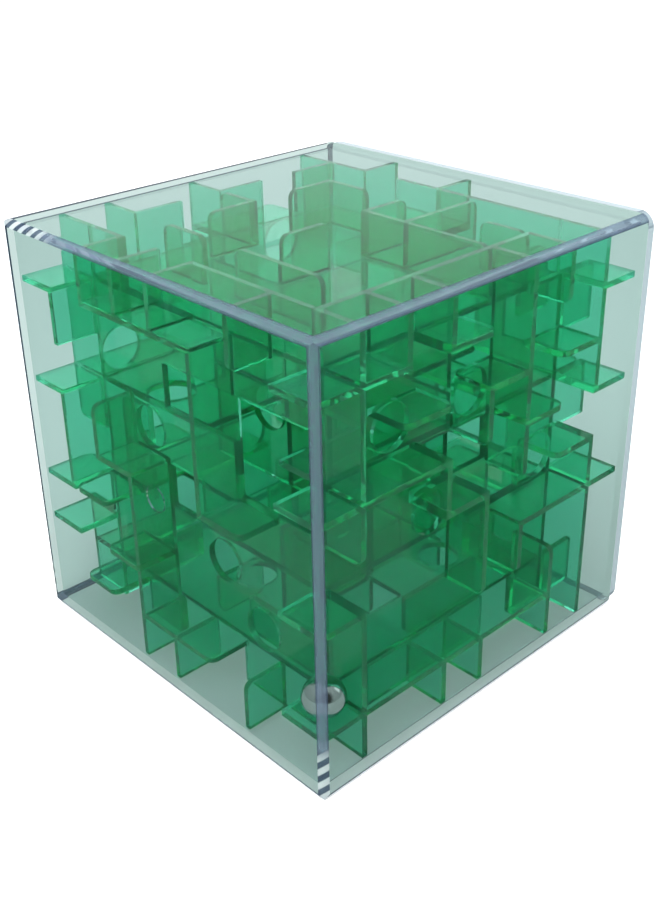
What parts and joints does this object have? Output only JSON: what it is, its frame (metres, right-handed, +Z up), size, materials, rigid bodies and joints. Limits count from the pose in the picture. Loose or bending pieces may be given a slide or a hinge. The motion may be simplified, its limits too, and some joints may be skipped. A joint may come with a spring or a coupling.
{
  "type": "maze ball puzzle",
  "caption": "Clear cube puzzle with a translucent green three-dimensional maze of plates and fins inside and a loose steel ball in its passages.",
  "frame": {"origin": "centre of the bottom face of the clear cube", "axes": "+Z up, +X towards the lid that closes the clear box, -Y towards the front face"},
  "size_m": [0.08, 0.08, 0.08],
  "materials": {
    "clear_case": "polished clear rigid plastic",
    "green_maze": "polished translucent green rigid plastic",
    "ball_steel": "polished steel"
  },
  "bodies": {
    "cube": {"case_tub": "clear_case", "case_lid": "clear_case", "left_maze_panel": "green_maze", "right_maze_panel": "green_maze", "front_maze_panel": "green_maze", "rear_maze_panel": "green_maze", "top_maze_panel": "green_maze", "bottom_maze_panel": "green_maze", "lower_core_tray": "green_maze", "middle_core_grid": "green_maze", "upper_core_tray": "green_maze"},
    "ball": {"steel_ball": "ball_steel"}
  },
  "joints": [
    {"name": "ball_roll", "type": "slide", "parent": "cube", "child": "ball", "axis": [0, 1, 0], "range_m": [0, 0.0395]}
  ]
}
